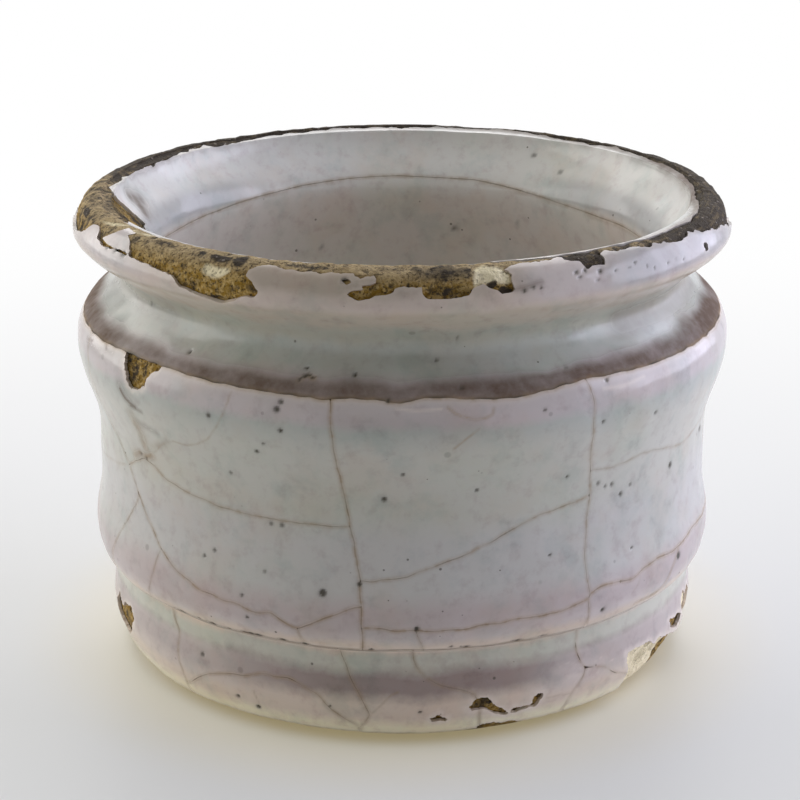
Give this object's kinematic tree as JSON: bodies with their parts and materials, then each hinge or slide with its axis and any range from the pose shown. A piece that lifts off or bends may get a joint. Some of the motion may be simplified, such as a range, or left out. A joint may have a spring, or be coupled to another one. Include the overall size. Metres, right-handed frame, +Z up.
{
  "type": "ointment jar",
  "caption": "Small thrown earthenware ointment jar with a rolled, worn lip, grooved neck, round shoulder and waisted belly under a crazed, chipped tin glaze.",
  "frame": {"origin": "centre of the foot ring, on the surface that the jar stands on", "axes": "+Z up the jar's axis to the mouth, -Y to the side that faces the picture"},
  "size_m": [0.0626, 0.0626, 0.0452],
  "materials": {
    "clay": "bare fired buff clay, granular, stained brown where the lip is worn",
    "outer_glaze": "glossy pale grey-white tin glaze, greenish where thick, lilac where thin, with brown-stained cracks",
    "inner_glaze": "glossy pale greenish-white tin glaze inside the jar"
  },
  "bodies": {
    "root": {"base_glaze": "outer_glaze", "belly_glaze_front_hem_left": "outer_glaze", "belly_glaze_front_hem_right": "outer_glaze", "belly_glaze_front_left_hem": "outer_glaze", "belly_glaze_front_left_middle": "outer_glaze", "belly_glaze_front_left_upper": "outer_glaze", "belly_glaze_front_middle": "outer_glaze", "belly_glaze_front_upper": "outer_glaze", "belly_glaze_left": "outer_glaze", "belly_glaze_left_heel": "outer_glaze", "belly_glaze_left_toe": "outer_glaze", "belly_glaze_rear": "outer_glaze", "belly_glaze_rear_left": "outer_glaze", "belly_glaze_rear_right": "outer_glaze", "belly_glaze_right_hem": "outer_glaze", "belly_glaze_right_middle": "outer_glaze", "belly_glaze_right_upper": "outer_glaze", "clay_body": "clay", "foot_glaze_front": "outer_glaze", "foot_glaze_front_left_lower": "outer_glaze", "foot_glaze_front_left_upper": "outer_glaze", "foot_glaze_front_right": "outer_glaze", "foot_glaze_front_right_lower": "outer_glaze", "foot_glaze_left": "outer_glaze", "foot_glaze_rear_left": "outer_glaze", "foot_glaze_rear_right": "outer_glaze", "foot_glaze_right": "outer_glaze", "lip_glaze_island": "outer_glaze", "mouth_lining": "inner_glaze", "neck_glaze": "outer_glaze", "well_lining": "inner_glaze"}
  },
  "joints": []
}
